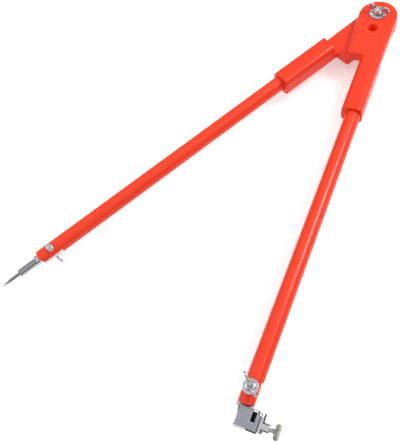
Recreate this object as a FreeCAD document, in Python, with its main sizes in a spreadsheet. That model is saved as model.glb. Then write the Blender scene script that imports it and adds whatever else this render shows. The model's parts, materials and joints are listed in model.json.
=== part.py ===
import FreeCAD, Part
import os

os.makedirs("parts", exist_ok=True)
doc = FreeCAD.newDocument("LegCompass")
Vector = FreeCAD.Vector

# Every size of the compass, in millimetres and degrees. Distances ending in At are
# measured along a leg, from the hinge axis towards the foot.
sizes = {
    # hinge and the two arms
    "legOpening": 29.62,
    "lapHeight": 18.0,
    "lapGap": 0.2,
    "armRound": 23.8,
    "armInnerEnd": 19.5,
    "armEndAt": 71.0,
    "armCorner": 2.6,
    "rimRound": 3.6,
    "shoulderAt": 75.0,
    "sleeveHalf": 12.4,
    "sleeveShift": 10.3,
    "sleeveCorner": 6.6,
    "sleeveStartAt": 56.0,
    "sleeveEndAt": 154.0,
    "hangHole": 5.95,
    "hangHoleAt": 24.5,
    "panelDepth": 0.5,
    "panelStartAt": 38.0,
    "panelEndAt": 65.5,
    "panelInner": 17.0,
    "panelTaper": 1.6,
    "panelOuter": 13.0,
    # tubes
    "tubeShift": 12.2,
    "tubeOuter": 9.0,
    "tubeWall": 1.4,
    "tubeStartAt": 80.0,
    "tubeEndRound": 12.0,
    "tubeEndReach": 5.0,
    "kneeAt": 495.0,
    "kneeRoll": 15.0,
    # bolts, washers and wing nuts
    "pressGap": 0.05,
    "runGap": 0.05,
    "nutGap": 0.03,
    "looseGap": 0.25,
    "hingeBolt": 3.0,
    "hingeBoltEnd": 21.4,
    "hingeHeadFlat": 5.0,
    "hingeHeadDeep": 4.0,
    "hingeWasher": 10.65,
    "hingeWasherDeep": 1.6,
    "kneeBolt": 2.5,
    "kneeHead": 4.3,
    "kneeHeadDeep": 3.2,
    "kneeHeadEdge": 1.0,
    "pencilWasher": 7.9,
    "pencilWasherDeep": 1.2,
    "pointWasher": 5.0,
    "pointWasherDeep": 1.0,
    "kneeBoltEndGap": 1.6,
    "hingeHub": 6.4,
    "hingeHubTop": 4.9,
    "hingeHubDeep": 6.4,
    "hingeWing": 4.8,
    "hingeWingReach": 9.7,
    "hingeWingRise": 7.0,
    "hingeWingDeep": 2.4,
    "hingeWingTurn": 167.0,
    "kneeHub": 5.2,
    "kneeHubTop": 4.0,
    "kneeHubDeep": 5.2,
    "kneeWing": 4.5,
    "kneeWingReach": 9.0,
    "kneeWingRise": 7.5,
    "kneeWingDeep": 2.1,
    "pencilWingTurn": 134.0,
    "pointWingTurn": -8.0,
    # feet, half-lapped into the tubes and measured from the knee bolt towards the tip
    "notchTop": 10.0,
    "footFlat": 3.6,
    "footGap": 0.3,
    "neckAt": 14.0,
    "neckOuter": 5.0,
    "flangeOuter": 6.25,
    "pointPlateAt": 17.6,
    "pointPlateEnd": 21.0,
    "chuckOuter": 4.35,
    "chuckEnd": 44.0,
    "chuckEdge": 1.0,
    "pointOuter": 2.0,
    "pointSeat": 34.0,
    "pointTaperAt": 57.0,
    "pointEnd": 66.0,
    "pointNose": 0.15,
    # pencil clamp
    "blockStart": 18.5,
    "blockInner": 4.5,
    "blockOuter": 18.6,
    "blockEnd": 37.4,
    "blockBack": -2.5,
    "blockFront": 10.0,
    "panelDeep": 0.6,
    "panelEdge": 1.2,
    "panelBottom": 31.5,
    "panelTop": 20.0,
    "panelRight": 14.8,
    "holeInner": 8.0,
    "holeWall": 2.0,
    "windowInner": 10.4,
    "windowOuter": 14.6,
    "windowEnd": 30.2,
    "grooveDeep": 1.2,
    "endReach": 5.9,
    "jawAt": 15.2,
    "jawDeep": 2.4,
    "jawStart": 22.5,
    "jawEnd": 36.4,
    "jawGap": 0.2,
    "screwOuter": 2.5,
    "screwAt": 30.0,
    "screwBury": 1.2,
    "bossOuter": 5.2,
    "bossDeep": 5.0,
    "wheelStart": 34.2,
    "wheelDeep": 4.6,
    "wheelOuter": 7.5,
    "wheelEdge": 0.5,
}

sheet = doc.addObject("Spreadsheet::Sheet", "sizes")
for row, (name, number) in enumerate(sizes.items(), 1):
    sheet.set("A%d" % row, name)
    sheet.set("B%d" % row, str(number))
    sheet.setAlias("B%d" % row, name)
doc.recompute()


def linked(text):
    """Points each size name in an expression at its cell."""
    word, out = "", ""
    for letter in str(text) + " ":
        if letter.isalnum():
            word += letter
            continue
        out += ("sizes." + word if word in sizes else word) + letter
        word = ""
    return out.strip()


def bind(thing, **rules):
    for name, rule in rules.items():
        thing.setExpression(name, linked(rule))
    return thing


def at(thing, x=0, y=0, z=0):
    for name, rule in (("x", x), ("y", y), ("z", z)):
        thing.setExpression("Placement.Base." + name, linked(rule))
    return thing


turns = {
    "z": FreeCAD.Rotation(),
    "-z": FreeCAD.Rotation(Vector(1, 0, 0), 180),
    "x": FreeCAD.Rotation(Vector(0, 1, 0), 90),
    "-y": FreeCAD.Rotation(Vector(1, 0, 0), 90),
}


def box(name, x, y, z, wide, deep, high):
    thing = doc.addObject("Part::Box", name)
    return at(bind(thing, Length=wide, Width=deep, Height=high), x, y, z)


def rod(name, radius, length, x=0, y=0, z=0, along="z"):
    thing = doc.addObject("Part::Cylinder", name)
    thing.Placement.Rotation = turns[along]
    return at(bind(thing, Radius=radius, Height=length), x, y, z)


def cone(name, start, end, length, x=0, y=0, z=0, along="z"):
    thing = doc.addObject("Part::Cone", name)
    thing.Placement.Rotation = turns[along]
    return at(bind(thing, Radius1=start, Radius2=end, Height=length), x, y, z)


def hexagon(name, flat, length, x=0, y=0, z=0, along="z"):
    thing = doc.addObject("Part::Prism", name)
    thing.Polygon = 6
    thing.Placement.Rotation = turns[along]
    return at(bind(thing, Circumradius="(%s) / cos(30)" % flat, Height=length), x, y, z)


def fuse(name, *things):
    thing = doc.addObject("Part::MultiFuse", name)
    thing.Shapes = list(things)
    thing.Refine = True
    return thing


def cut(name, base, *tools):
    thing = doc.addObject("Part::Cut", name)
    thing.Base = base
    thing.Tool = tools[0] if len(tools) == 1 else fuse(name + "Tools", *tools)
    thing.Refine = True
    return thing


def common(name, first, second):
    thing = doc.addObject("Part::Common", name)
    thing.Base = first
    thing.Tool = second
    return thing


def rounded(name, base, pick, kind="Part::Fillet"):
    """Rounds or bevels the edges of base for which pick gives a radius, or one for each end."""
    doc.recompute()
    thing = doc.addObject(kind, name)
    thing.Base = base
    edges = []
    for number, edge in enumerate(base.Shape.Edges, 1):
        radius = pick(edge)
        if radius:
            start, end = radius if isinstance(radius, tuple) else (radius, radius)
            edges.append((number, start, end))
    thing.Edges = edges
    return thing


def near(a, b):
    return abs(a - b) < 0.01


def level(edge, axis, value):
    """True for an edge that lies wholly at one height along an axis."""
    box = edge.BoundBox
    low, high = (getattr(box, axis + "Min"), getattr(box, axis + "Max"))
    return near(low, value) and near(high, value)


nodes = []


def node(name, thing, place):
    thing.Label = name
    thing.setExpression("Placement", linked(place))
    nodes.append((name, thing))


pencilLeg = "placement(vector(0; 0; lapHeight); rotation(vector(0; 0; 1); 0))"
pointLeg = "placement(vector(0; 0; lapHeight); rotation(vector(0; 0; 1); 0 - legOpening))"
turnedOver = " * placement(vector(0; 0; 0); rotation(vector(0; 1; 0); 180))"
pencilFoot = pencilLeg + " * placement(vector(tubeShift; 0 - kneeAt; 0); rotation(vector(0; 0; 1); 0))"
pointFoot = pointLeg + (
    " * placement(vector(0 - tubeShift; 0 - kneeAt; 0); rotation(vector(0; 1; 0); kneeRoll))"
)


def arm(name, place):
    """One cast arm: a half-thick round-ended plate that runs into a sleeve for the tube."""
    def half(side, foot):
        """A tapered half of the plate, whose edge meets the round end at a tangent."""
        square = "(%s^2 + armEndAt^2)" % foot
        root = "sqrt(%s - armRound^2)" % square
        tangentX = "(armRound^2 * %s + armRound * %s * armEndAt) / %s" % (foot, root, square)
        tangentY = "(armRound * %s * %s - armRound^2 * armEndAt) / %s" % (root, foot, square)
        wedge = doc.addObject("Part::Wedge", name + "Taper")
        bind(wedge, Ymin="0 - armEndAt", Ymax=tangentY)
        bind(wedge, Zmin="lapGap / 2", Zmax="sleeveHalf", Z2min="lapGap / 2", Z2max="sleeveHalf")
        if side < 0:
            return bind(wedge, Xmin="0 - " + foot, Xmax="0", X2min="0 - " + tangentX, X2max="0")
        return bind(wedge, Xmin="0", Xmax=foot, X2min="0", X2max=tangentX)

    end = rod(name + "End", "armRound", "sleeveHalf - lapGap / 2", z="lapGap / 2")
    end.Placement.Rotation = FreeCAD.Rotation(Vector(0, 0, 1), -90)
    plate = fuse(name + "Plate", half(-1, "armInnerEnd"), half(1, "(sleeveShift + sleeveHalf)"), end)

    def corner(edge):
        middle = edge.CenterOfMass
        upright = near(middle.x, -sizes["armInnerEnd"]) and near(middle.y, -sizes["armEndAt"])
        return sizes["armCorner"] if upright else 0

    plate = rounded(name + "Corner", plate, corner)

    def rim(edge):
        if not level(edge, "Z", sizes["sleeveHalf"]):
            return 0
        return sizes["rimRound"]

    plate = rounded(name + "Rim", plate, rim)
    sleeve = box(
        name + "Square", "sleeveShift - sleeveHalf", "0 - sleeveEndAt", "0 - sleeveHalf",
        "2 * sleeveHalf", "sleeveEndAt - sleeveStartAt", "2 * sleeveHalf",
    )

    def long(edge):
        flat = near(edge.BoundBox.XLength, 0) and near(edge.BoundBox.ZLength, 0)
        return sizes["sleeveCorner"] if flat else 0

    sleeve = rounded(name + "Sleeve", sleeve, long)
    lap = rod(name + "Lap", "shoulderAt", "sleeveHalf + lapGap", z="0 - sleeveHalf - lapGap / 2")
    sleeve = cut(name + "Shoulder", sleeve, lap)
    body = fuse(name + "Body", plate, sleeve)
    hinge = rod(name + "HingeBore", "hingeBolt + runGap", "3 * sleeveHalf", z="0 - sleeveHalf")
    hang = rod(name + "HangBore", "hangHole", "3 * sleeveHalf", y="0 - hangHoleAt", z="0 - sleeveHalf")
    bore = rod(
        name + "TubeBore", "tubeOuter + pressGap", "sleeveEndAt - tubeStartAt + 1",
        "tubeShift", "0 - tubeStartAt", 0, "-y",
    )
    panel = doc.addObject("Part::Wedge", name + "Panel")
    bind(panel, Xmin="panelTaper - panelInner", Xmax="panelOuter", X2min="0 - panelInner", X2max="panelOuter")
    bind(panel, Ymin="0 - panelEndAt", Ymax="0 - panelStartAt")
    bind(panel, Zmin="sleeveHalf - panelDepth", Zmax="sleeveHalf + 1")
    bind(panel, Z2min="sleeveHalf - panelDepth", Z2max="sleeveHalf + 1")
    node(name, cut(name + "Arm", body, hinge, hang, bore, panel), place)


def tube(name, shift, roll, place):
    """A leg tube, open at both ends, its lower end cut to a curve and notched behind for the foot."""
    outer = rod(name + "Outer", "tubeOuter", "kneeAt + 30 - tubeStartAt", 0, "kneeAt - tubeStartAt", 0, "-y")
    room = box(
        name + "Room", "0 - 2 * tubeOuter", "0 - tubeEndReach", "0 - 2 * tubeOuter",
        "4 * tubeOuter", "kneeAt", "4 * tubeOuter",
    )
    curve = rod(name + "Curve", "tubeEndRound", "4 * tubeOuter", 0, "0 - tubeEndReach", "0 - 2 * tubeOuter")
    outer = common(name + "Ended", outer, fuse(name + "Limit", room, curve))
    inner = rod(
        name + "Inner", "tubeOuter - tubeWall", "kneeAt + 60 - tubeStartAt",
        0, "kneeAt + 1 - tubeStartAt", 0, "-y",
    )
    bore = rod(name + "Bore", "kneeBolt + pressGap", "4 * tubeOuter", z="0 - 2 * tubeOuter")
    notch = box(
        name + "Notch", "0 - 2 * tubeOuter", "0 - kneeAt", "0 - 2 * tubeOuter",
        "4 * tubeOuter", "kneeAt + notchTop", "2 * tubeOuter + footFlat + footGap",
    )
    node(name, cut(name + "Tube", outer, inner, bore, notch), place)


arm("front_arm", pencilLeg)
arm("back_arm", pointLeg + turnedOver)
tube("pencil_leg_tube", "tubeShift", 0, pencilFoot)
tube("point_leg_tube", "0 - tubeShift", "kneeRoll", pointFoot)


def washer(name, outer, hole, deep, z, place):
    disc = rod(name + "Disc", outer, deep, z=z)
    bore = rod(name + "Hole", hole, "3 * (%s)" % deep, z="%s - (%s)" % (z, deep))
    node(name, cut(name + "Ring", disc, bore), place)


def wingNut(name, kind, bolt, turn, place, flip=""):
    """A hub with two round upright wings, standing on z = 0."""
    hub = cone(name + "Hub", kind + "Hub", kind + "HubTop", kind + "HubDeep")
    wings = []
    for side in ("", "0 - "):
        wings.append(rod(
            name + "Wing", kind + "Wing", kind + "WingDeep",
            side + kind + "WingReach", kind + "WingDeep / 2", kind + "WingRise", "-y",
        ))
    web = box(
        name + "Web", "0 - %sWingReach" % kind, "0 - %sWingDeep / 2" % kind, "%sWingRise - %sWing" % (kind, kind),
        "2 * %sWingReach" % kind, kind + "WingDeep", "%sWing" % kind,
    )
    body = fuse(name + "Body", hub, web, *wings)
    bore = rod(name + "Bore", bolt + " + runGap", "4 * %sHubDeep" % kind, z="0 - " + kind + "HubDeep")
    turned = " * placement(vector(0; 0; 0); rotation(vector(0; 0; 1); %s))" % turn
    node(name, cut(name + "Nut", body, bore), place + flip + turned)


# Hinge: bolt from the back, a wide washer each side, wing nut in front.
headBack = "0 - sleeveHalf - hingeWasherDeep - hingeHeadDeep"
shank = rod("hingeShank", "hingeBolt", "hingeBoltEnd - (%s) - 1" % headBack, z="%s + 1" % headBack)
head = hexagon("hingeHead", "hingeHeadFlat", "hingeHeadDeep", z=headBack)
node("hinge_bolt", fuse("hingeBoltBody", shank, head), pencilLeg)
washer("hinge_front_washer", "hingeWasher", "hingeBolt + looseGap", "hingeWasherDeep", "sleeveHalf", pencilLeg)
washer(
    "hinge_back_washer", "hingeWasher", "hingeBolt + runGap", "hingeWasherDeep",
    "0 - sleeveHalf - hingeWasherDeep", pointLeg,
)
nutSeat = " * placement(vector(0; 0; sleeveHalf + hingeWasherDeep); rotation(vector(0; 0; 1); 0))"
wingNut("hinge_wing_nut", "hinge", "hingeBolt", "hingeWingTurn", pencilLeg + nutSeat)

# Pencil knee: head behind the foot, washer and wing nut on the front of the tube.


def kneeBolt(name, start, end, place, flip=""):
    """A round-headed bolt that stands on the back of its head at z = start."""
    shank = rod(name + "Shank", "kneeBolt", "(%s) - (%s) - 1" % (end, start), z="%s + 1" % start)
    low = cone(name + "Low", "kneeHead - kneeHeadEdge", "kneeHead", "kneeHeadEdge", z=start)
    high = rod(name + "High", "kneeHead", "kneeHeadDeep - kneeHeadEdge", z="%s + kneeHeadEdge" % start)
    node(name, fuse(name + "Body", shank, low, high), place + flip)


pencilSeat = "tubeOuter + pencilWasherDeep"
kneeBolt(
    "pencil_knee_bolt", "0 - tubeOuter - kneeHeadDeep",
    "%s + kneeHubDeep + kneeBoltEndGap" % pencilSeat, pencilFoot,
)
washer("pencil_knee_washer", "pencilWasher", "kneeBolt + looseGap", "pencilWasherDeep", "tubeOuter", pencilFoot)
nutSeat = " * placement(vector(0; 0; %s); rotation(vector(0; 0; 1); 0))" % pencilSeat
wingNut("pencil_wing_nut", "knee", "kneeBolt", "pencilWingTurn", pencilFoot + nutSeat)

# Point knee: head on the front of the tube, washer and wing nut behind the foot.
pointSeat = "tubeOuter + pointWasherDeep"
kneeBolt(
    "point_knee_bolt", "0 - tubeOuter - kneeHeadDeep",
    "%s + kneeHubDeep + kneeBoltEndGap" % pointSeat, pointFoot, turnedOver,
)
washer(
    "point_knee_washer", "pointWasher", "kneeBolt + runGap", "pointWasherDeep",
    "0 - tubeOuter - pointWasherDeep", pointFoot,
)
nutSeat = " * placement(vector(0; 0; 0 - nutGap - (%s)); rotation(vector(0; 1; 0); 180))" % pointSeat
wingNut("point_wing_nut", "knee", "kneeBolt", "pointWingTurn", pointFoot + nutSeat)


def halfLap(name, start, *below):
    """The rear of a foot, as round as the tube, flat in front and rounded above the bolt."""
    bar = rod(name + "Bar", "tubeOuter", "%s + 2 * tubeOuter" % start, y="2 * tubeOuter", along="-y")
    high = rod(name + "Top", "notchTop - footGap", "4 * tubeOuter", z="0 - 2 * tubeOuter")
    low = box(
        name + "Low", "0 - 2 * tubeOuter", "0 - " + start, "0 - 2 * tubeOuter",
        "4 * tubeOuter", start, "4 * tubeOuter",
    )
    bar = common(name + "Rounded", bar, fuse(name + "Outline", high, low))
    limit = box(
        name + "Limit", "0 - 2 * tubeOuter", "0 - 2 * " + start, "0 - 2 * tubeOuter",
        "4 * tubeOuter", "4 * " + start, "2 * tubeOuter + footFlat",
    )
    return common(name + "Lap", fuse(name + "Whole", bar, *below) if below else bar, limit)


neck = rod("pointNeck", "neckOuter", "pointPlateAt + 1 - neckAt", y="1 - neckAt", along="-y")
lap = halfLap("pointLap", "neckAt", neck)
flange = rod("pointFlange", "flangeOuter", "pointPlateEnd - pointPlateAt", y="0 - pointPlateAt", along="-y")
bore = rod("pointLapBore", "kneeBolt + runGap", "4 * tubeOuter", z="0 - 2 * tubeOuter")
node("point_bracket", cut("pointBracket", fuse("pointBracketBody", lap, flange), bore), pointFoot)

body = rod("chuckRound", "chuckOuter", "chuckEnd - pointPlateEnd - chuckEdge", y="0 - pointPlateEnd", along="-y")
edge = cone("chuckNose", "chuckOuter", "chuckOuter - chuckEdge", "chuckEdge", y="chuckEdge - chuckEnd", along="-y")
bore = rod("chuckBore", "pointOuter + pressGap", "chuckEnd", y="0 - pointSeat", along="-y")
node("point_chuck", cut("pointChuck", fuse("chuckBody", body, edge), bore), pointFoot)

body = rod("pointShank", "pointOuter", "pointTaperAt - pointSeat", y="0 - pointSeat", along="-y")
tip = cone("pointTip", "pointOuter", "pointNose", "pointEnd - pointTaperAt", y="0 - pointTaperAt", along="-y")
node("steel_point", fuse("steelPoint", body, tip), pointFoot)

lap = halfLap("pencilLap", "blockStart")
bore = rod("pencilLapBore", "kneeBolt + runGap", "4 * tubeOuter", z="0 - 2 * tubeOuter")
node("pencil_bracket", cut("pencilBracket", lap, bore), pencilFoot)

screwHeight = "(blockBack + blockFront) / 2"


def groove(name, face, start, end):
    """A right-angled groove along a jaw face, to hold a round pencil."""
    tool = box(name, 0, 0, 0, "2 * grooveDeep", "%s - (%s) + 4" % (end, start), "2 * grooveDeep")
    spot = "placement(vector(%s; 0 - (%s) - 2; %s); rotation(vector(0; 1; 0); 45))" % (face, end, screwHeight)
    center = " * placement(vector(0 - grooveDeep; 0; 0 - grooveDeep); rotation(vector(0; 0; 1); 0))"
    tool.setExpression("Placement.Base.x", None)
    tool.setExpression("Placement.Base.y", None)
    tool.setExpression("Placement.Base.z", None)
    tool.setExpression("Placement", linked(spot + center))
    return tool


# Cast block: a square hole for the pencil, a window into it and a sunk panel on its front.
block = box(
    "blockBox", "0 - blockInner", "0 - blockEnd", "blockBack",
    "blockInner + blockOuter", "blockEnd - blockStart", "blockFront - blockBack",
)
panel = box(
    "blockPanel", "panelEdge - blockInner", "0 - panelBottom", "blockFront - panelDeep",
    "blockInner + panelRight - panelEdge", "panelBottom - panelTop", "1 + panelDeep",
)
hole = box(
    "blockHole", "holeInner", "0 - blockEnd - 1", "blockBack + holeWall",
    "blockOuter", "blockEnd", "blockFront - blockBack - 2 * holeWall",
)
window = box(
    "blockWindow", "windowInner", "0 - windowEnd", screwHeight,
    "windowOuter - windowInner", "windowEnd - panelTop + 1", "blockFront",
)
cutter = groove("blockGroove", "holeInner", "blockStart", "blockEnd")
node("clamp_block", cut("clampBlock", block, panel, hole, window, cutter), pencilFoot)

# The half-round end closes the block and carries the screw, which a boss on it lengthens.
curve = rod(
    "endRound", "(blockFront - blockBack) / 2", "blockEnd - blockStart",
    "blockOuter + endReach - (blockFront - blockBack) / 2", "0 - blockStart", screwHeight, "-y",
)
limit = box(
    "endLimit", "blockOuter", "0 - blockEnd - 1", "blockBack - 1",
    "2 * endReach", "blockEnd - blockStart + 2", "blockFront - blockBack + 2",
)
end = common("endShape", curve, limit)
bore = rod("endBore", "screwOuter + runGap", "4 * endReach", "blockOuter - 1", "0 - screwAt", screwHeight, "x")
node("clamp_end", cut("clampEnd", end, bore), pencilFoot)

boss = rod("bossRound", "bossOuter", "endReach + bossDeep - 1", "blockOuter + 1", "0 - screwAt", screwHeight, "x")
bore = rod("bossBore", "screwOuter + runGap", "4 * endReach", "blockOuter", "0 - screwAt", screwHeight, "x")
node("screw_boss", cut("screwBoss", boss, end, bore), pencilFoot)

# Sliding jaw, pushed by the thumb screw, whose end turns in a blind bore in it.
jaw = box(
    "jawBox", "jawAt", "0 - jawEnd", "blockBack + holeWall + jawGap",
    "jawDeep", "jawEnd - jawStart", "blockFront - blockBack - 2 * (holeWall + jawGap)",
)
bore = rod(
    "jawBore", "screwOuter + runGap", "screwBury + 2",
    "jawAt + jawDeep - screwBury", "0 - screwAt", screwHeight, "x",
)
node("clamp_jaw", cut("clampJaw", jaw, bore), pencilFoot)

screwStart = "(jawAt + jawDeep - screwBury)"
screw = rod(
    "screwRod", "screwOuter", "wheelStart + wheelDeep - %s" % screwStart,
    screwStart, "0 - screwAt", screwHeight, "x",
)
screw.Label = "screw rod"
node("thumb_screw", fuse("thumbScrew", screw, rod(
    "screwShort", "screwOuter", "wheelDeep", "wheelStart", "0 - screwAt", screwHeight, "x")), pencilFoot)

low = cone("wheelLow", "wheelOuter - wheelEdge", "wheelOuter", "wheelEdge", "wheelStart", "0 - screwAt", screwHeight, "x")
mid = rod(
    "wheelMid", "wheelOuter", "wheelDeep - 2 * wheelEdge",
    "wheelStart + wheelEdge", "0 - screwAt", screwHeight, "x",
)
high = cone(
    "wheelHigh", "wheelOuter", "wheelOuter - wheelEdge", "wheelEdge",
    "wheelStart + wheelDeep - wheelEdge", "0 - screwAt", screwHeight, "x",
)
bore = rod("wheelBore", "screwOuter + pressGap", "3 * wheelDeep", "wheelStart - wheelDeep", "0 - screwAt", screwHeight, "x")
node("thumb_wheel", cut("thumbWheel", fuse("wheelBody", low, mid, high), bore), pencilFoot)

doc.recompute()
for thing in doc.Objects:
    if "Invalid" in thing.State or "Error" in thing.State:
        raise SystemExit("failed: " + thing.Name + " " + thing.getStatusString())
for name, thing in nodes:
    shape = thing.Shape
    if shape.isNull() or not shape.isValid():
        raise SystemExit("bad shape: " + name)
    shape.exportStep("parts/" + name + ".step")
    room = shape.BoundBox
    print(
        "%-20s %d solid(s) %9.1f mm3  x %.1f..%.1f  y %.1f..%.1f  z %.1f..%.1f"
        % (name, len(shape.Solids), shape.Volume, room.XMin, room.XMax, room.YMin, room.YMax, room.ZMin, room.ZMax)
    )
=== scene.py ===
import json
import math

import bpy
from mathutils import Matrix, Vector

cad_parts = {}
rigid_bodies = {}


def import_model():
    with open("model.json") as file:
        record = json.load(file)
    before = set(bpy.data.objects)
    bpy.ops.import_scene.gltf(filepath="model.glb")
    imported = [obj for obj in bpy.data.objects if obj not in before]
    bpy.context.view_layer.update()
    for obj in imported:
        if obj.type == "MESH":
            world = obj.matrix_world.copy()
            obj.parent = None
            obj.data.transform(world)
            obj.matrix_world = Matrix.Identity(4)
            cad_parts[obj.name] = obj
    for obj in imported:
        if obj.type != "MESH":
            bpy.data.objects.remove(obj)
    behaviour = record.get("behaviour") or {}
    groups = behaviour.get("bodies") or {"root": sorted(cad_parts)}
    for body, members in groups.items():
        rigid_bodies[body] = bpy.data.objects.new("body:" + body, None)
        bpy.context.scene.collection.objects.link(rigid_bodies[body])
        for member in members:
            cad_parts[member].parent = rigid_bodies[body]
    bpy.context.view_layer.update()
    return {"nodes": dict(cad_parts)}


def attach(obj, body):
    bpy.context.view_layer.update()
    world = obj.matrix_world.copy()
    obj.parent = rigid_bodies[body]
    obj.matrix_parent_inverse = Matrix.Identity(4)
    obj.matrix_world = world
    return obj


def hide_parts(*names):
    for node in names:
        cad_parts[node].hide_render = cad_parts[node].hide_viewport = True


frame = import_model()
nodes = frame["nodes"]
print("frame loaded,", len(nodes), "pieces")

bpy.context.scene.view_settings.view_transform = "Standard"
mm = 0.001

# Frames of the legs and feet: x across a leg, y towards the hinge, z to the front
place = {"lapHeight": 18, "legOpening": 29.62, "tubeShift": 12.2, "kneeAt": 495, "kneeRoll": 15}
pencilLeg = Matrix.Translation((0, 0, place["lapHeight"] * mm))
pointLeg = pencilLeg @ Matrix.Rotation(math.radians(-place["legOpening"]), 4, "Z")
pencilFoot = pencilLeg @ Matrix.Translation((place["tubeShift"] * mm, -place["kneeAt"] * mm, 0))
pointFoot = (
    pointLeg
    @ Matrix.Translation((-place["tubeShift"] * mm, -place["kneeAt"] * mm, 0))
    @ Matrix.Rotation(math.radians(place["kneeRoll"]), 4, "Y")
)
turnedOver = Matrix.Rotation(math.pi, 4, "Y")
alongX = Matrix.Rotation(math.radians(90), 4, "Y")
downLeg = Matrix.Rotation(math.radians(90), 4, "X")


def shifted(x=0, y=0, z=0):
    return Matrix.Translation((x * mm, y * mm, z * mm))


def turned(angle):
    return Matrix.Rotation(math.radians(angle), 4, "Z")


# Modelling helpers, with sizes in mm
def deselectAll():
    for obj in bpy.context.view_layer.objects:
        obj.select_set(False)


def only(obj):
    deselectAll()
    bpy.context.view_layer.objects.active = obj
    obj.select_set(True)


def applyPlace(obj, matrix):
    obj.matrix_world = matrix @ obj.matrix_world
    only(obj)
    bpy.ops.object.transform_apply(location=True, rotation=True, scale=True)
    return obj


def slab(name, low, high):
    deselectAll()
    middle = [(a + b) / 2 * mm for a, b in zip(low, high)]
    bpy.ops.mesh.primitive_cube_add(size=1, location=middle)
    obj = bpy.context.object
    obj.name = name
    obj.scale = [(b - a) * mm for a, b in zip(low, high)]
    bpy.ops.object.transform_apply(location=True, rotation=True, scale=True)
    return obj


def lathe(name, profile, sides=64, ring=False):  # the profile holds pairs of radius and height
    deselectAll()
    radius, height = profile[0]
    bpy.ops.mesh.primitive_circle_add(
        vertices=sides, radius=radius * mm, location=(0, 0, height * mm),
        fill_type="NOTHING" if ring else "NGON",
    )
    obj = bpy.context.object
    obj.name = name
    bpy.ops.object.transform_apply(location=True, rotation=True, scale=True)
    bpy.ops.object.mode_set(mode="EDIT")
    bpy.ops.mesh.select_all(action="SELECT")
    for nextRadius, nextHeight in profile[1:] + ([profile[0]] if ring else []):
        bpy.ops.mesh.extrude_region_move(
            TRANSFORM_OT_translate={"value": (0, 0, (nextHeight - height) * mm)}
        )
        grow = nextRadius / radius
        bpy.ops.transform.resize(value=(grow, grow, 1), center_override=(0, 0, 0))
        radius, height = nextRadius, nextHeight
    bpy.ops.mesh.select_all(action="SELECT")
    bpy.ops.mesh.remove_doubles(threshold=0.002 * mm)
    bpy.ops.mesh.normals_make_consistent(inside=False)
    bpy.ops.object.mode_set(mode="OBJECT")
    return obj


def copyOf(obj, name):
    only(obj)
    bpy.ops.object.duplicate()
    copy = bpy.context.object
    copy.name = name
    return copy


def boolean(obj, tool, operation="DIFFERENCE"):
    only(obj)
    modifier = obj.modifiers.new("shape", "BOOLEAN")
    modifier.operation = operation
    modifier.object = tool
    modifier.solver = "EXACT"
    bpy.ops.object.modifier_apply(modifier=modifier.name)
    bpy.data.objects.remove(tool)


def hull(obj):
    only(obj)
    bpy.ops.object.mode_set(mode="EDIT")
    bpy.ops.mesh.select_all(action="SELECT")
    bpy.ops.mesh.convex_hull()
    bpy.ops.mesh.select_all(action="SELECT")
    bpy.ops.mesh.dissolve_limited(angle_limit=math.radians(0.5))
    bpy.ops.object.mode_set(mode="OBJECT")


def join(obj, other):
    only(obj)
    other.select_set(True)
    bpy.ops.object.join()
    return obj


def selectNone(obj, kind):
    only(obj)
    bpy.ops.object.mode_set(mode="EDIT")
    bpy.ops.mesh.select_mode(type=kind)
    bpy.ops.mesh.select_all(action="DESELECT")
    bpy.ops.object.mode_set(mode="OBJECT")


def bevelEdges(obj, test, width, segments=1):  # the test gets the two ends of an edge
    selectNone(obj, "EDGE")
    points = obj.data.vertices
    for edge in obj.data.edges:
        a, b = (points[i].co / mm for i in edge.vertices)
        edge.select = bool(test(a, b))
    bpy.ops.object.mode_set(mode="EDIT")
    bpy.ops.mesh.bevel(offset=width * mm, segments=segments, affect="EDGES")
    bpy.ops.object.mode_set(mode="OBJECT")


def softenEdges(obj, width, segments=2, angle=40):
    only(obj)
    modifier = obj.modifiers.new("soften", "BEVEL")
    modifier.width = width * mm
    modifier.segments = segments
    modifier.limit_method = "ANGLE"
    modifier.angle_limit = math.radians(angle)
    bpy.ops.object.modifier_apply(modifier=modifier.name)


def castOver(obj, grain, passes):  # melts the edges together as in a casting
    only(obj)
    remesh = obj.modifiers.new("cast", "REMESH")
    remesh.mode = "VOXEL"
    remesh.voxel_size = grain * mm
    bpy.ops.object.modifier_apply(modifier=remesh.name)
    smooth = obj.modifiers.new("melt", "SMOOTH")
    smooth.factor = 0.5
    smooth.iterations = passes
    bpy.ops.object.modifier_apply(modifier=smooth.name)


threadLook = {"deep": 0.55, "fill": 0.94, "steps": 20}  # deep and fill are shares of the pitch


def threadRidge(outer, deep, pitch, start, turns):
    deselectAll()
    size = deep / 1.5  # a triangle is 1.5 of its radius high and 1.732 wide
    bpy.ops.mesh.primitive_circle_add(vertices=3, radius=size * mm, fill_type="NOTHING")
    obj = bpy.context.object
    obj.name = "ridge"
    widen = Matrix.Diagonal((1, 1, threadLook["fill"] * pitch / (1.732 * size), 1))
    upright = downLeg @ turned(-90)
    applyPlace(obj, shifted(outer - deep + size / 2, 0, start + pitch / 2) @ widen @ upright)
    screw = obj.modifiers.new("thread", "SCREW")
    screw.axis = "Z"
    screw.angle = 2 * math.pi
    screw.screw_offset = pitch * mm
    screw.iterations = turns
    screw.steps = screw.render_steps = threadLook["steps"]
    bpy.ops.object.modifier_apply(modifier=screw.name)
    bpy.ops.object.mode_set(mode="EDIT")
    bpy.ops.mesh.select_all(action="SELECT")
    bpy.ops.mesh.fill_holes(sides=0)
    bpy.ops.mesh.select_all(action="SELECT")
    bpy.ops.mesh.normals_make_consistent(inside=False)
    bpy.ops.object.mode_set(mode="OBJECT")
    return obj


# Shader helpers
def feed(tree, socket, value):  # a number or colour is set, an output is linked
    if isinstance(value, (int, float, tuple)):
        socket.default_value = value
    else:
        tree.links.new(value, socket)


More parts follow.
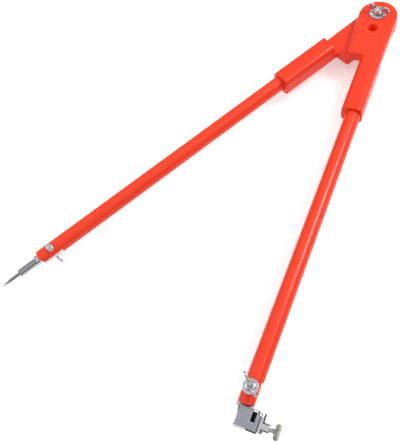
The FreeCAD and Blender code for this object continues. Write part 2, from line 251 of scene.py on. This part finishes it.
def addMath(tree, operation, *values, clamp=False):
    node = tree.nodes.new("ShaderNodeMath")
    node.operation = operation
    node.use_clamp = clamp
    for socket, value in zip(node.inputs, values):
        feed(tree, socket, value)
    return node.outputs[0]


def addNoise(tree, point, scale, detail):
    node = tree.nodes.new("ShaderNodeTexNoise")
    for label, value in (("Vector", point), ("Scale", scale), ("Detail", detail)):
        feed(tree, node.inputs[label], value)
    return node.outputs["Fac"]


def mapRange(tree, source, fromLow, fromHigh, toLow=0, toHigh=1):
    node = tree.nodes.new("ShaderNodeMapRange")
    labels = ("Value", "From Min", "From Max", "To Min", "To Max")
    for label, value in zip(labels, (source, fromLow, fromHigh, toLow, toHigh)):
        feed(tree, node.inputs[label], value)
    return node.outputs["Result"]


def newGroup(name, inputs, output):
    group = bpy.data.node_groups.new(name, "ShaderNodeTree")
    for label, value in inputs.items():
        socket = group.interface.new_socket(
            name=label, in_out="INPUT", socket_type="NodeSocketFloat"
        )
        socket.default_value = value
    group.interface.new_socket(name=output, in_out="OUTPUT", socket_type="NodeSocketFloat")
    given = group.nodes.new("NodeGroupInput").outputs
    result = group.nodes.new("NodeGroupOutput").inputs
    point = group.nodes.new("ShaderNodeTexCoord").outputs["Object"]
    return group, given, result, point


# Shared effects
mottleGroup, given, result, point = newGroup(
    "mottle", {"Scale": 60, "Detail": 4, "Contrast": 0.2}, "Value"
)
noise = addNoise(mottleGroup, point, given["Scale"], given["Detail"])
low = addMath(mottleGroup, "SUBTRACT", 0.5, given["Contrast"])
high = addMath(mottleGroup, "ADD", 0.5, given["Contrast"])
mottleGroup.links.new(mapRange(mottleGroup, noise, low, high), result["Value"])

hairlineGroup, given, result, point = newGroup(
    "hairline", {"ScaleX": 300, "ScaleY": 300, "ScaleZ": 30}, "Value"
)
stretch = hairlineGroup.nodes.new("ShaderNodeCombineXYZ")
for axis in "XYZ":
    hairlineGroup.links.new(given["Scale" + axis], stretch.inputs[axis])
multiply = hairlineGroup.nodes.new("ShaderNodeVectorMath")
multiply.operation = "MULTIPLY"
hairlineGroup.links.new(point, multiply.inputs[0])
hairlineGroup.links.new(stretch.outputs[0], multiply.inputs[1])
noise = addNoise(hairlineGroup, multiply.outputs[0], 10, 3)
hairlineGroup.links.new(noise, result["Value"])

wearGroup, given, result, point = newGroup(
    "edgeWear", {"Start": 0.52, "End": 0.6, "Breakup": 400}, "Mask"
)
pointiness = wearGroup.nodes.new("ShaderNodeNewGeometry").outputs["Pointiness"]
sharp = mapRange(wearGroup, pointiness, given["Start"], given["End"])
broken = mapRange(wearGroup, addNoise(wearGroup, point, given["Breakup"], 3), 0.4, 0.6)
wearGroup.links.new(addMath(wearGroup, "MULTIPLY", sharp, broken), result["Mask"])

boxGroup, given, result, point = newGroup(
    "boxMask", {"X": 0, "Y": 0, "Z": 0, "HalfX": 1, "HalfY": 1, "HalfZ": 1}, "Mask"
)
split = boxGroup.nodes.new("ShaderNodeSeparateXYZ")
boxGroup.links.new(point, split.inputs[0])
inX, inY, inZ = (
    addMath(boxGroup, "COMPARE", split.outputs[axis], given[axis], given["Half" + axis])
    for axis in "XYZ"
)
inBox = addMath(boxGroup, "MULTIPLY", addMath(boxGroup, "MULTIPLY", inX, inY), inZ)
boxGroup.links.new(inBox, result["Mask"])


# Materials
def newMaterial(name):
    material = bpy.data.materials.new(name)
    material.use_nodes = True
    tree = material.node_tree
    tree.nodes.clear()
    output = tree.nodes.new("ShaderNodeOutputMaterial")
    shader = tree.nodes.new("ShaderNodeBsdfPrincipled")
    tree.links.new(shader.outputs["BSDF"], output.inputs["Surface"])
    return material, tree, shader


def addGroup(tree, group, **values):
    node = tree.nodes.new("ShaderNodeGroup")
    node.node_tree = group
    for label, value in values.items():
        node.inputs[label].default_value = value
    return node.outputs[0]


def mixColor(tree, amount, first, second):
    node = tree.nodes.new("ShaderNodeMix")
    node.data_type = "RGBA"
    tree.links.new(amount, node.inputs["Factor"])
    feed(tree, node.inputs[6], first)
    feed(tree, node.inputs[7], second)
    return node.outputs[2]


def bump(tree, shader, height, strength, distance):
    node = tree.nodes.new("ShaderNodeBump")
    node.inputs["Strength"].default_value = strength
    node.inputs["Distance"].default_value = distance
    tree.links.new(height, node.inputs["Height"])
    tree.links.new(node.outputs["Normal"], shader.inputs["Normal"])


paintLook = {
    "color": (0.97, 0.046, 0.007, 1),
    "deep": (0.94, 0.038, 0.005, 1),
    "edge": (0.97, 0.13, 0.06, 1),
    "edgeShare": 0.5,
    "roughLow": 0.34,
    "roughHigh": 0.48,
    "specular": 0.3,
    "coat": 0.25,
    "coatRough": 0.13,
    "peelScale": 900,
    "peelStrength": 0.08,
    "peelDeep": 0.2,
}


def paint(name, wearStart, wearEnd):
    look = paintLook
    material, tree, shader = newMaterial(name)
    clouds = addGroup(tree, mottleGroup, Scale=18, Contrast=0.3)
    color = mixColor(tree, clouds, look["color"], look["deep"])
    wear = addGroup(tree, wearGroup, Start=wearStart, End=wearEnd, Breakup=500)
    wear = mapRange(tree, wear, 0, 1, 0, look["edgeShare"])
    tree.links.new(mixColor(tree, wear, color, look["edge"]), shader.inputs["Base Color"])
    patches = addGroup(tree, mottleGroup, Scale=60, Contrast=0.4)
    rough = mapRange(tree, patches, 0, 1, look["roughLow"], look["roughHigh"])
    tree.links.new(rough, shader.inputs["Roughness"])
    shader.inputs["Specular IOR Level"].default_value = look["specular"]
    shader.inputs["Coat Weight"].default_value = look["coat"]
    shader.inputs["Coat Roughness"].default_value = look["coatRough"]
    peel = addGroup(tree, mottleGroup, Scale=look["peelScale"], Detail=1, Contrast=0.5)
    bump(tree, shader, peel, look["peelStrength"], look["peelDeep"] * mm)
    return material


castingPaint = paint("castingPaint", 0.51, 0.56)
tubePaint = paint("tubePaint", 0.62, 0.74)


metalLook = {
    "worn": (0.8, 0.8, 0.82, 1),
    # near-black painted shade, laid into the boxes given to metal()
    "paintedShadeTone": (0.035, 0.030, 0.034, 1),
    "wearStart": 0.58,
    "wearEnd": 0.65,
    "polishedShare": 0.18,
    "lineDeep": 0.05,
}


def footBox(tree, box):  # a mask between two corners in the pencil foot's frame
    low, high = (pencilFoot @ (Vector(corner) * mm) for corner in box)
    middle, half = (low + high) / 2, (high - low) / 2
    labels = ("X", "Y", "Z", "HalfX", "HalfY", "HalfZ")
    return addGroup(tree, boxGroup, **dict(zip(labels, (*middle, *half))))


def metal(name, light, dark, roughLow, roughHigh, lines, depth, paintedShadeBoxes=(), polishBoxes=()):
    look = metalLook
    material, tree, shader = newMaterial(name)
    color = mixColor(tree, addGroup(tree, mottleGroup, Scale=70, Contrast=0.34), light, dark)
    wear = addGroup(tree, wearGroup, Start=look["wearStart"], End=look["wearEnd"], Breakup=700)
    color = mixColor(tree, wear, color, look["worn"])
    # painted shade: inside each box the colour turns near black, standing in for shadow in the
    # hollows
    for box in paintedShadeBoxes:
        color = mixColor(tree, footBox(tree, box), color, look["paintedShadeTone"])
    tree.links.new(color, shader.inputs["Base Color"])
    shader.inputs["Metallic"].default_value = 1
    hair = addGroup(tree, hairlineGroup, ScaleX=lines[0], ScaleY=lines[1], ScaleZ=lines[2])
    rough = mapRange(tree, hair, 0.3, 0.7, roughLow, roughHigh)
    for box in polishBoxes:
        keep = mapRange(tree, footBox(tree, box), 0, 1, 1, look["polishedShare"])
        rough = addMath(tree, "MULTIPLY", rough, keep)
    tree.links.new(rough, shader.inputs["Roughness"])
    bump(tree, shader, hair, depth, look["lineDeep"] * mm)
    return material


zinc = metal(
    "brightZinc", (0.66, 0.67, 0.70, 1), (0.52, 0.53, 0.57, 1), 0.14, 0.30, (120, 120, 120), 0.2
)
castZinc = metal(
    "castZinc", (0.64, 0.65, 0.68, 1), (0.50, 0.51, 0.55, 1), 0.16, 0.34, (160, 160, 160), 0.35
)
turnedSteel = metal(
    "turnedSteel", (0.44, 0.44, 0.47, 1), (0.32, 0.32, 0.35, 1), 0.10, 0.20, (40, 260, 40), 0.3
)
pointSteel = metal(
    "pointSteel", (0.36, 0.36, 0.39, 1), (0.24, 0.24, 0.27, 1), 0.08, 0.18, (60, 240, 60), 0.25
)
clampFace = metal(
    "clampFace", (0.46, 0.46, 0.52, 1), (0.37, 0.37, 0.43, 1), 0.24, 0.38, (190, 190, 190), 0.4,
    paintedShadeBoxes=[  # painted shade inside the hole, and on the walls of the window
        ((7.9, -37.2, -0.7), (18.5, -18.7, 8.1)),
        ((10.3, -30.3, 7.9), (14.7, -18.9, 9.9)),
    ],
    polishBoxes=[  # the chamfers of the front face
        ((-4.6, -37.5, 9.2), (-3.2, -18.4, 9.99)),
        ((17.5, -37.5, 9.4), (18.7, -18.4, 9.99)),
        ((-4.6, -37.5, 8.9), (18.7, -36.6, 9.99)),
        ((-4.6, -19.1, 9.4), (18.7, -18.4, 9.99)),
    ],
)
polished = metal(
    "polishedNickel", (0.74, 0.74, 0.77, 1), (0.66, 0.66, 0.70, 1), 0.05, 0.12, (200, 20, 200), 0.1,
    paintedShadeBoxes=[  # painted shade in the seam against the block, and at the end of the hole
        ((18.5, -40, 8.6), (19.5, -10, 11)),
        ((18.5, -37.2, -0.7), (18.65, -18.7, 8.1)),
    ],
)
wheelMetal = metal(
    "wheelMetal", (0.44, 0.45, 0.40, 1), (0.33, 0.34, 0.30, 1), 0.38, 0.52, (150, 150, 150), 0.3
)
print("materials made")


def finish(obj, body, slotName, material, *replaced, smooth=35):
    only(obj)
    bpy.ops.object.shade_smooth_by_angle(angle=math.radians(smooth))
    obj.data.materials.clear()
    obj.data.materials.append(material)
    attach(obj, body)
    if replaced:
        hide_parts(*replaced)


def dress(name, material):
    obj = nodes[name]
    obj.data.materials.clear()
    obj.data.materials.append(material)


# Cast arms
armSize = {
    "round": 23.8, "roundSides": 128, "innerEnd": 19.5, "endAt": 71, "corner": 2.6, "rim": 3.6,
    "thick": 12.4, "gap": 0.1, "sleeveShift": 10.3, "sleeveCorner": 6.6, "sleeveStart": 56,
    "sleeveEnd": 154, "shoulderAt": 75, "hangHole": 5.95, "hangHoleAt": 24.5, "hingeHole": 3.05,
    "tubeHole": 9.03, "tubeStart": 80, "grain": 0.62, "meltPasses": 5,
}
blendSize = {"inner": 13, "low": -68, "high": -48, "back": 4, "passes": 60}
panelSize = {
    "low": (-17, -65.5), "high": (13, -38), "deep": 0.5, "middle": -50, "lean": 1.6,
    "flareX": 1.12, "flareY": 3.5,
}


def castPlate(name):
    a = armSize
    front, outer = a["thick"], a["sleeveShift"] + a["thick"]
    plate = lathe(name, [(a["round"], a["gap"]), (a["round"], front)], a["roundSides"])
    foot = slab("foot", (-a["innerEnd"], -a["endAt"], a["gap"]), (outer, -a["endAt"] + 1, front))
    hull(join(plate, foot))

    def innerCorner(p, q):
        upright = abs(p.x - q.x) < 0.01 and abs(p.z - q.z) > 1 and p.y == q.y
        return upright and p.x < -15 and p.y < -60

    def frontRim(p, q):
        return min(p.z, q.z) > front - 0.01 and max(p.z, q.z) < front + 0.01

    bevelEdges(plate, innerCorner, a["corner"], 4)
    bevelEdges(plate, frontRim, a["rim"], 7)
    return plate


def castSleeve():
    a = armSize
    half, shift = a["thick"], a["sleeveShift"]
    low = (shift - half, -a["sleeveEnd"], -half)
    sleeve = slab("sleeve", low, (shift + half, -a["sleeveStart"], half))
    bevelEdges(sleeve, lambda p, q: abs(p.y - q.y) > 10, a["sleeveCorner"], 8)
    lap = lathe("lap", [(a["shoulderAt"], -half - 1), (a["shoulderAt"], a["gap"])], 160)
    boolean(sleeve, lap)
    return sleeve


def blendShoulder(arm):  # where the plate's rim runs into the sleeve's rounder corner
    b = blendSize
    only(arm)
    for vertex in arm.data.vertices:
        x, y, z = vertex.co / mm
        vertex.select = x > b["inner"] and b["low"] < y < b["high"] and z > b["back"]
    bpy.ops.object.mode_set(mode="EDIT")
    bpy.ops.mesh.select_mode(type="VERT")
    bpy.ops.mesh.vertices_smooth(factor=0.5, repeat=b["passes"])
    bpy.ops.object.mode_set(mode="OBJECT")


def panelTool():
    p, front = panelSize, armSize["thick"]
    tool = slab("panel", (*p["low"], front - p["deep"]), (*p["high"], front + 3))
    only(tool)
    for vertex in tool.data.vertices:
        upper = vertex.co.y > p["middle"] * mm
        if vertex.co.x < 0 and not upper:
            vertex.co.x += p["lean"] * mm
        if vertex.co.z > front * mm:
            vertex.co.x *= p["flareX"]
            vertex.co.y += (p["flareY"] if upper else -p["flareY"]) * mm
    return tool


def castArm(name):
    a = armSize
    front, hole = a["thick"], a["hangHole"]
    arm = castPlate(name)
    boolean(arm, castSleeve(), "UNION")
    castOver(arm, a["grain"], a["meltPasses"])
    blendShoulder(arm)
    boolean(arm, lathe("bore", [(a["hingeHole"], -30), (a["hingeHole"], 30)], 48))
    hang = lathe("hang", [
        (hole, -30), (hole, front - 0.6), (hole + 0.25, front - 0.2), (hole + 0.8, front + 0.2),
        (hole + 0.8, 30),
    ], 72)
    boolean(arm, applyPlace(hang, shifted(0, -a["hangHoleAt"])))
    tubeHole = lathe("tubeHole", [(a["tubeHole"], 0), (a["tubeHole"], 90)], 96)
    boolean(arm, applyPlace(tubeHole, shifted(place["tubeShift"], -a["tubeStart"]) @ downLeg))
    boolean(arm, panelTool())
    return arm


frontArm = castArm("frontArm")
backArm = copyOf(frontArm, "backArm")
applyPlace(frontArm, pencilLeg)
applyPlace(backArm, pointLeg @ turnedOver)
finish(frontArm, "pencil_leg", "painted_castings", castingPaint, "front_arm")
finish(backArm, "point_leg", "painted_castings", castingPaint, "back_arm")
dress("pencil_leg_tube", tubePaint)
dress("point_leg_tube", tubePaint)
print("arms cast")

# Wing nuts
hingeNutSize = {
    "hub": 6.4, "hubTop": 4.9, "hubDeep": 6.4, "hole": 3.05,
    "wing": 4.8, "reach": 9.7, "rise": 7.0, "deep": 2.4,
}
kneeNutSize = {
    "hub": 5.2, "hubTop": 4.0, "hubDeep": 5.2, "hole": 2.55,
    "wing": 4.5, "reach": 9.0, "rise": 7.5, "deep": 2.6,
}
nutCast = {"edge": 0.7, "rootAt": 3, "rootHalf": 0.5, "rootLow": 0.8, "grain": 0.3, "passes": 4}
nutPlace = {
    "hingeSeat": 14, "hingeTurn": 167, "pencilSeat": 10.2, "pencilTurn": 134,
    "pointSeat": -10.03, "pointTurn": -8,
}


def wingNut(name, w):
    n, half, top = nutCast, w["deep"] / 2, w["hubDeep"]
    hub = lathe(name, [
        (w["hub"] - 0.3, 0), (w["hub"], 0.3), (w["hub"] - 0.3, top * 0.3),
        (w["hubTop"] + 0.2, top * 0.8), (w["hubTop"] - 0.1, top - 0.3), (w["hubTop"] - 0.6, top),
    ])
    for side in (1, -1):
        inside, edge = w["wing"] - n["edge"], half - n["edge"]
        profile = [(inside, -half), (w["wing"], -edge), (w["wing"], edge), (inside, half)]
        wing = lathe("wing", profile, 48)
        applyPlace(wing, shifted(side * w["reach"], 0, w["rise"]) @ downLeg)
        at, wide = side * n["rootAt"], n["rootHalf"]
        low = (at - wide, -half * 1.5, n["rootLow"])
        root = slab("root", low, (at + wide, half * 1.5, top * 0.85))
        hull(join(wing, root))
        boolean(hub, wing, "UNION")
    castOver(hub, n["grain"], n["passes"])
    boolean(hub, lathe("hole", [(w["hole"], -5), (w["hole"], 20)], 40))
    return hub


def placeNut(nut, leg, seat, turn, body, node):
    matrix = leg @ shifted(0, 0, seat)
    if seat < 0:  # a nut behind the leg faces the other way
        matrix = matrix @ turnedOver
    finish(applyPlace(nut, matrix @ turned(turn)), body, "wing_nuts", castZinc, node)


n = nutPlace
hingeNut = wingNut("hingeWingNut", hingeNutSize)
pencilNut = wingNut("pencilWingNut", kneeNutSize)
pointNut = copyOf(pencilNut, "pointWingNut")
placeNut(hingeNut, pencilLeg, n["hingeSeat"], n["hingeTurn"], "hinge_nut", "hinge_wing_nut")
placeNut(pencilNut, pencilFoot, n["pencilSeat"], n["pencilTurn"], "pencil_nut", "pencil_wing_nut")
placeNut(pointNut, pointFoot, n["pointSeat"], n["pointTurn"], "point_nut", "point_wing_nut")
print("wing nuts made")

# Washers
washers = {
    "hingeFrontWasher": {
        "inner": 3.25, "outer": 10.65, "deep": 1.6, "at": pencilLeg @ shifted(0, 0, 12.4),
        "body": "pencil_leg", "node": "hinge_front_washer",
    },
    "hingeBackWasher": {
        "inner": 3.05, "outer": 10.65, "deep": 1.6, "at": pointLeg @ shifted(0, 0, -14),
        "body": "point_leg", "node": "hinge_back_washer",
    },
    "pencilKneeWasher": {
        "inner": 2.75, "outer": 7.9, "deep": 1.2, "at": pencilFoot @ shifted(0, 0, 9),
        "body": "pencil_leg", "node": "pencil_knee_washer",
    },
    "pointKneeWasher": {
        "inner": 2.55, "outer": 5.0, "deep": 1.0, "at": pointFoot @ shifted(0, 0, -10),
        "body": "point_holder", "node": "point_knee_washer",
    },
}


def washerRing(name, inner, outer, deep, edge=0.2):
    ease = edge * 0.3
    return lathe(name, [
        (inner, edge), (inner + edge, 0), (outer - edge, 0), (outer - ease, ease), (outer, edge),
        (outer, deep - edge), (outer - ease, deep - ease), (outer - edge, deep),
        (inner + edge, deep), (inner, deep - edge),
    ], 72, True)


for name, w in washers.items():
    washer = applyPlace(washerRing(name, w["inner"], w["outer"], w["deep"]), w["at"])
    finish(washer, w["body"], "zinc_washers", zinc, w["node"])

# Bolts, with the thread where it stands out of its nut
hingeBoltSize = {
    "shank": [(3, -15), (3, 13), (2.5, 13.4), (2.5, 20.9), (2.0, 21.4)],
    "head": [(5.77, 0), (5.77, 4)],
    "chamfer": [(4.6, -0.01), (5.9, 0.9), (5.9, 5)],
    "headAt": -18, "thread": 2.98, "pitch": 1.0, "end": 21.4,
}
kneeBoltSize = {
    "head": 4.3, "headDeep": 3.2, "start": -12.2, "thread": 2.48, "pitch": 0.8,
    "pencilEnd": 17, "pointEnd": 16.8,
}


def threadedEnd(shank, outer, pitch, end, turns=6):
    start = end - 0.4 - pitch * (turns + 1)
    return join(shank, threadRidge(outer, threadLook["deep"] * pitch, pitch, start, turns))


def kneeBolt(name, end):
    k = kneeBoltSize
    r, start, deep = k["head"], k["start"], k["headDeep"]
    bolt = lathe(name, [
        (r - 1.5, start), (r - 1.1, start + 0.08), (r - 0.35, start + 0.7), (r, start + 1.3),
        (r, start + deep - 0.2), (r - 0.2, start + deep), (2.5, start + deep),
        (2.5, end - 7), (2.05, end - 6.6), (2.05, end - 0.4), (1.6, end),
    ], 48)
    return threadedEnd(bolt, k["thread"], k["pitch"], end)


b = hingeBoltSize
hingeBolt = threadedEnd(lathe("hingeBolt", b["shank"], 40), b["thread"], b["pitch"], b["end"])
head = lathe("head", b["head"], 6)
boolean(head, lathe("chamfer", b["chamfer"], 48), "INTERSECT")
join(hingeBolt, applyPlace(head, shifted(0, 0, b["headAt"])))
finish(applyPlace(hingeBolt, pencilLeg), "pencil_leg", "zinc_bolts", zinc, "hinge_bolt", smooth=25)
bolt = kneeBolt("pencilKneeBolt", kneeBoltSize["pencilEnd"])
finish(applyPlace(bolt, pencilFoot), "pencil_leg", "zinc_bolts", zinc, "pencil_knee_bolt")
bolt = kneeBolt("pointKneeBolt", kneeBoltSize["pointEnd"])
finish(applyPlace(bolt, pointFoot @ turnedOver), "point_leg", "zinc_bolts", zinc, "point_knee_bolt")
print("bolts and washers made")

# Point foot: chuck and needle
chuckShape = [
    (2.06, 34), (2.06, 43.6), (2.5, 44), (3.3, 44), (3.8, 43.75), (4.35, 43),
    (4.35, 22), (4.1, 21.6), (3.6, 21), (2.06, 21),
]
needleShape = [
    (2, 22), (2, 56.5), (1.93, 57.3), (1.72, 58.6), (1.42, 60.4), (1.05, 62.4),
    (0.62, 64.4), (0.2, 65.9), (0.08, 66),
]
alongFoot = pointFoot @ downLeg
chuck = applyPlace(lathe("pointChuck", chuckShape, 64, True), alongFoot)
finish(chuck, "point_holder", "chuck_steel", turnedSteel, "point_chuck")
needle = applyPlace(lathe("steelPoint", needleShape, 40), alongFoot)
finish(needle, "point_holder", "point_steel", pointSteel, "steel_point")
dress("point_bracket", zinc)
dress("pencil_bracket", zinc)

# Pencil clamp
clampSize = {
    "inner": -4.5, "outer": 18.6, "top": -18.5, "bottom": -37.4, "back": -2.5, "front": 10,
    "holeInner": 8, "wall": 2, "screwAt": -30, "endReach": 5.9, "bore": 2.55,
    "leftChamfer": 0.65, "leftChamferWide": 1.25, "rightChamfer": 0.5, "rightChamferWide": 1.05,
    "bottomChamfer": 0.9, "topChamfer": 0.5, "panelInset": 1.6, "panelOuter": 14.8,
    "panelLow": -31.5, "panelTop": -20, "panelDeep": 0.6,
    "windowLow": (10.4, -30.2), "windowHigh": (14.6, -19.0), "seamWide": 0.85, "seamDeep": 0.7,
    "blockEdge": 0.1, "endEdge": 0.3,
}
c = clampSize
inner, outer, low, high = c["inner"], c["outer"], c["bottom"], c["top"]
back, front = c["back"], c["front"]
height = (back + front) / 2
screwLine = shifted(0, c["screwAt"], height) @ alongX


def lengthwise(p, q):
    return abs(p.y - q.y) > 5 and p.z > 5


def acrossFront(p, q):
    return abs(p.x - q.x) > 5 and min(p.z, q.z) > front - 0.01


block = slab("clampBlock", (inner, low, back), (outer, high, front))
bevelEdges(block, lambda p, q: lengthwise(p, q) and min(p.x, q.x) < 0, c["leftChamfer"])
bevelEdges(block, lambda p, q: lengthwise(p, q) and min(p.x, q.x) > 10, c["rightChamfer"])
bevelEdges(block, lambda p, q: acrossFront(p, q) and max(p.y, q.y) < -30, c["bottomChamfer"])
bevelEdges(block, lambda p, q: acrossFront(p, q) and min(p.y, q.y) > -20, c["topChamfer"])
for vertex in block.data.vertices:
    if vertex.co.z > (front - 0.01) * mm:
        if vertex.co.x < 0:
            vertex.co.x = (inner + c["leftChamferWide"]) * mm
        elif vertex.co.x > 10 * mm:
            vertex.co.x = (outer - c["rightChamferWide"]) * mm
holeLow = (c["holeInner"], low - 1, back + c["wall"])
boolean(block, slab("hole", holeLow, (30, high + 1, front - c["wall"])))
panelLow = (inner + c["panelInset"], c["panelLow"], front - c["panelDeep"])
boolean(block, slab("panel", panelLow, (c["panelOuter"], c["panelTop"], front + 1)))
boolean(block, slab("window", (*c["windowLow"], height), (*c["windowHigh"], front + 1)))
softenEdges(block, c["blockEdge"])
applyPlace(block, pencilFoot)
finish(block, "pencil_holder", "clamp_steel", clampFace, "clamp_block", smooth=15)

radius = (front - back) / 2
end = lathe("clampEnd", [(radius, -high), (radius, -low)], 96)
applyPlace(end, shifted(outer + c["endReach"] - radius, 0, height) @ downLeg)
half = slab("half", (outer, low - 1, back - 1), (outer + 20, high + 1, front + 1))
boolean(end, half, "INTERSECT")
boolean(end, applyPlace(lathe("bore", [(c["bore"], 0), (c["bore"], 40)], 32), screwLine))
seamLow = (outer - 1, low - 1, front - c["seamDeep"])
boolean(end, slab("seam", seamLow, (outer + c["seamWide"], high + 1, front + 1)))
softenEdges(end, c["endEdge"])
finish(applyPlace(end, pencilFoot), "pencil_holder", "clamp_steel", polished, "clamp_end", smooth=30)

# What lies on the clamp's screw
bossShape = [
    (2.55, 20), (5.2, 20), (5.2, 28.6), (4.9, 29.2), (4.3, 29.5), (2.9, 29.5), (2.55, 29.2),
]
jawSize = {"low": (15.2, -36.4, -0.3), "high": (17.6, -22.5, 7.8), "edge": 0.4}
screwSize = {
    "shape": [(1.7, 16.4), (2.1, 16.8), (2.1, 38.4), (1.8, 38.8)],
    "thread": 2.48, "threadDeep": 0.45, "pitch": 0.8, "threadFrom": 17.2, "turns": 20,
}
wheelSize = {
    "shape": [
        (2.1, 34.2), (4.2, 34.2), (6.6, 34.4), (7.1, 34.7), (7.5, 35.4), (7.5, 37.6),
        (7.1, 38.3), (6.6, 38.6), (4.2, 38.8), (2.1, 38.8),
    ],
    "sides": 96, "knurlFrom": 7.3, "knurlShare": 0.955,
}
alongScrew = pencilFoot @ screwLine
boss = applyPlace(lathe("screwBoss", bossShape, 64, True), alongScrew)
finish(boss, "pencil_holder", "clamp_steel", polished, "screw_boss")
jaw = slab("clampJaw", jawSize["low"], jawSize["high"])
softenEdges(jaw, jawSize["edge"], 3)
finish(applyPlace(jaw, pencilFoot), "jaw", "clamp_steel", zinc, "clamp_jaw")

s = screwSize
screw = lathe("thumbScrew", s["shape"], 32)
join(screw, threadRidge(s["thread"], s["threadDeep"], s["pitch"], s["threadFrom"], s["turns"]))
finish(applyPlace(screw, alongScrew), "screw", "zinc_bolts", zinc, "thumb_screw")

wheel = lathe("thumbWheel", wheelSize["shape"], wheelSize["sides"], True)
selectNone(wheel, "VERT")
for vertex in wheel.data.vertices:
    x, y = vertex.co.x, vertex.co.y
    around = round(math.degrees(math.atan2(y, x)) / (360 / wheelSize["sides"]))
    vertex.select = math.hypot(x, y) > wheelSize["knurlFrom"] * mm and around % 2 == 0
bpy.ops.object.mode_set(mode="EDIT")
knurl = (wheelSize["knurlShare"], wheelSize["knurlShare"], 1)
bpy.ops.transform.resize(value=knurl, center_override=(0, 0, 0))
bpy.ops.object.mode_set(mode="OBJECT")
finish(applyPlace(wheel, alongScrew), "screw", "wheel_metal", wheelMetal, "thumb_wheel", smooth=28)
print("pencil clamp made")

# Floor, world and lamps
middleAt = (-0.12, -0.25)
floorLook = {"height": -6.2, "half": 4.0, "color": (0.86, 0.86, 0.86, 1), "lift": 0.42}
deselectAll()
bpy.ops.mesh.primitive_plane_add(
    size=2 * floorLook["half"], location=(*middleAt, floorLook["height"] * mm)
)
floor = bpy.context.object
floor.name = "floor"
floorMaterial = bpy.data.materials.new("floorWhite")
floorMaterial.use_nodes = True
tree = floorMaterial.node_tree
tree.nodes.clear()
output = tree.nodes.new("ShaderNodeOutputMaterial")
matte = tree.nodes.new("ShaderNodeBsdfDiffuse")
matte.inputs["Color"].default_value = floorLook["color"]
glow = tree.nodes.new("ShaderNodeEmission")
ray = tree.nodes.new("ShaderNodeLightPath").outputs
seen = addMath(tree, "ADD", ray["Is Camera Ray"], ray["Is Glossy Ray"], clamp=True)
seen = addMath(tree, "ADD", seen, ray["Is Transmission Ray"], clamp=True)
tree.links.new(addMath(tree, "MULTIPLY", seen, floorLook["lift"]), glow.inputs["Strength"])
both = tree.nodes.new("ShaderNodeAddShader")
tree.links.new(matte.outputs[0], both.inputs[0])
tree.links.new(glow.outputs[0], both.inputs[1])
tree.links.new(both.outputs[0], output.inputs["Surface"])
floor.data.materials.append(floorMaterial)

# A dark band above the horizon gives the metal its contrast
worldLook = {"white": 1.0, "dim": 0.76, "band": 0.02, "bandLow": 0.30, "bandHigh": 0.54}
world = bpy.data.worlds.new("studio")
bpy.context.scene.world = world
world.use_nodes = True
tree = world.node_tree
background = tree.nodes["Background"]
background.inputs["Color"].default_value = (1, 1, 1, 1)
direction = tree.nodes.new("ShaderNodeTexCoord")
split = tree.nodes.new("ShaderNodeSeparateXYZ")
tree.links.new(direction.outputs["Generated"], split.inputs[0])
look = worldLook
rise = mapRange(
    tree, split.outputs["Z"], look["bandLow"], look["bandHigh"], look["band"], look["dim"]
)
ray = tree.nodes.new("ShaderNodeLightPath")
strength = tree.nodes.new("ShaderNodeMix")
tree.links.new(ray.outputs["Is Camera Ray"], strength.inputs[0])
tree.links.new(rise, strength.inputs[2])
strength.inputs[3].default_value = look["white"]
tree.links.new(strength.outputs[0], background.inputs["Strength"])

lamps = {
    "keyLight": {"at": (0.9, 0.5, 1.2), "size": 0.5, "power": 13},
    "fillLight": {"at": (-1.3, -0.6, 1.0), "size": 0.7, "power": 6},
}
lampAim = Vector((*middleAt, 0.02))
for name, lamp in lamps.items():
    data = bpy.data.lights.new(name, "AREA")
    data.shape = "RECTANGLE"
    data.size = data.size_y = lamp["size"]
    data.energy = lamp["power"]
    obj = bpy.data.objects.new(name, data)
    bpy.context.scene.collection.objects.link(obj)
    obj.location = lamp["at"]
    obj.rotation_euler = (lampAim - Vector(lamp["at"])).to_track_quat("-Z", "Y").to_euler()
print("studio set")

# Camera, from the photograph's vanishing lines
cameraPlace = {
    "rows": (
        (0.9114179, -0.2555363, 0.3225192, 0.1263958),
        (0.3775672, 0.8309554, -0.4086027, -0.6295204),
        (-0.1635863, 0.4941804, 0.8538297, 0.6255371),
        (0, 0, 0, 1),
    ),
    "lens": 52.31,
    "shiftX": -0.0070,
    "shiftY": 0.0016,
}
cameraData = bpy.data.cameras.new("camera")
camera = bpy.data.objects.new("camera", cameraData)
bpy.context.scene.collection.objects.link(camera)
camera.matrix_world = Matrix(cameraPlace["rows"])
cameraData.sensor_width = 36
cameraData.lens = cameraPlace["lens"]
cameraData.shift_x = cameraPlace["shiftX"]
cameraData.shift_y = cameraPlace["shiftY"]
cameraData.clip_start = 0.01
bpy.context.scene.camera = camera
